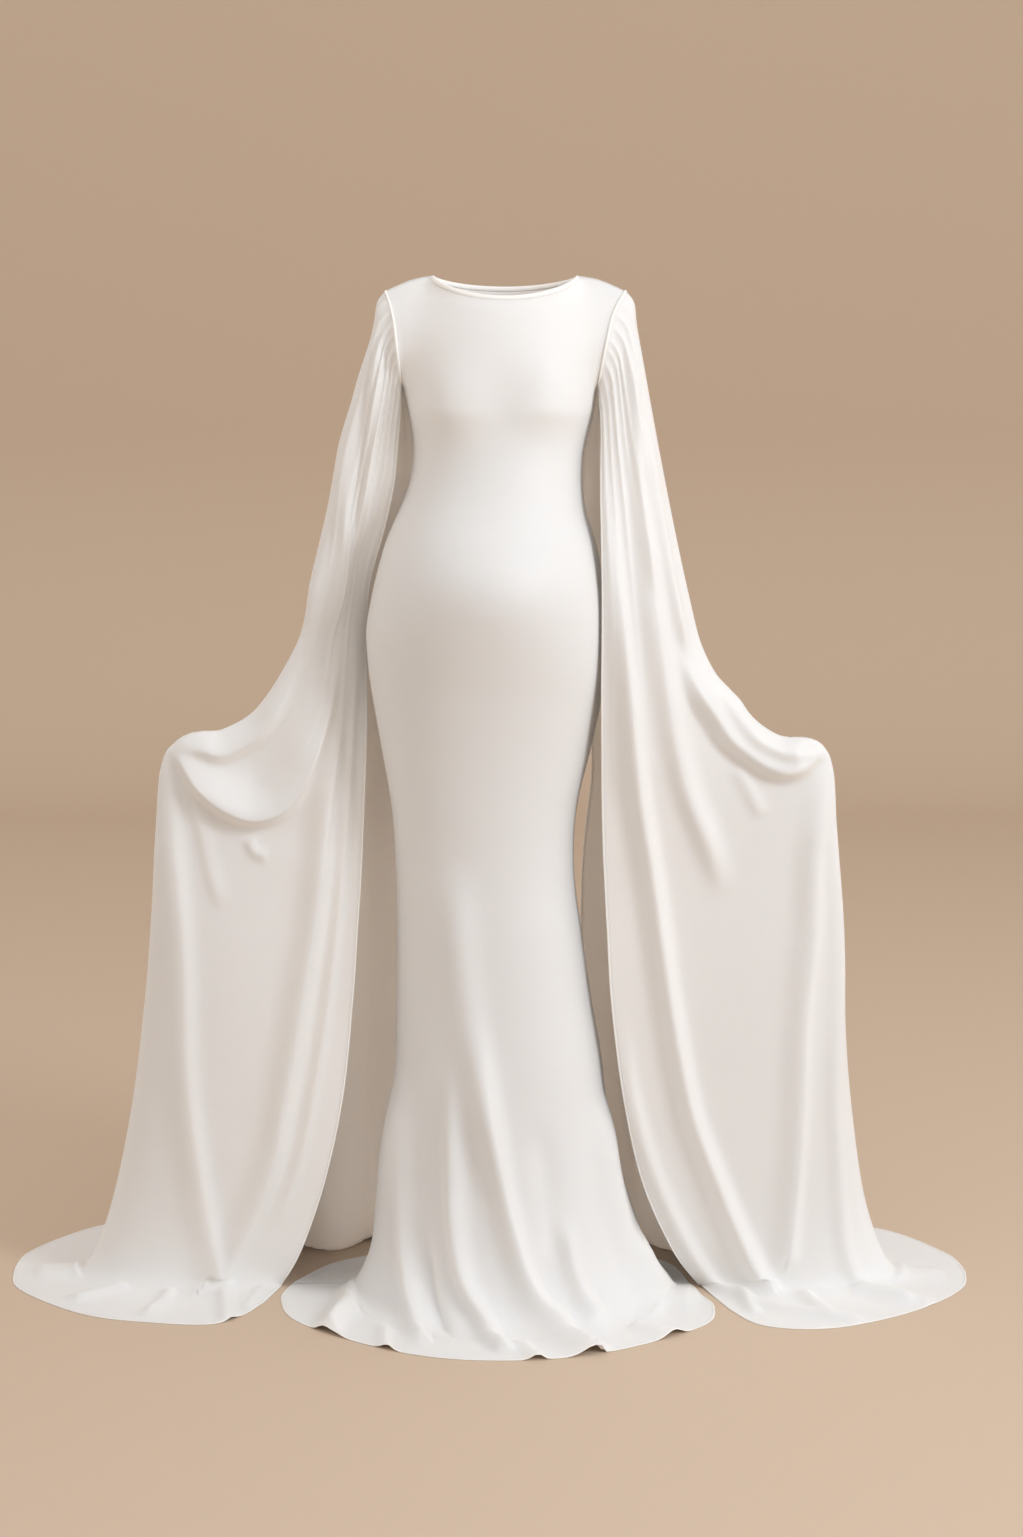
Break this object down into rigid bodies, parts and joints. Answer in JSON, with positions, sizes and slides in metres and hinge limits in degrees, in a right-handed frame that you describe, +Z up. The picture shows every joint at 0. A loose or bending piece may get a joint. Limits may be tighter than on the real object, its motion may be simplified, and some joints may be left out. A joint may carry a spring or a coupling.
{
  "type": "maternity gown",
  "caption": "Floor-length fitted maternity gown with a boat neck and wide cape sleeves, hanging hollow as worn, its hem and sleeves pooled on the floor.",
  "frame": {"origin": "midway between the two neck points, where the wearer's shoulders hold the gown", "axes": "+X to the viewer's right, which is the wearer's left; -Y is the front; +Z is up, and the floor is at z = -1.5 m"},
  "size_m": [1.45, 0.7022, 1.4999],
  "materials": {
    "jersey": "smooth ivory stretch jersey with a soft satin sheen",
    "binding": "ivory jersey binding, folded and stitched"
  },
  "bodies": {
    "root": {"gown_front": "jersey", "gown_back": "jersey", "sleeve_right": "jersey", "sleeve_left": "jersey", "neck_binding": "binding"}
  },
  "joints": []
}
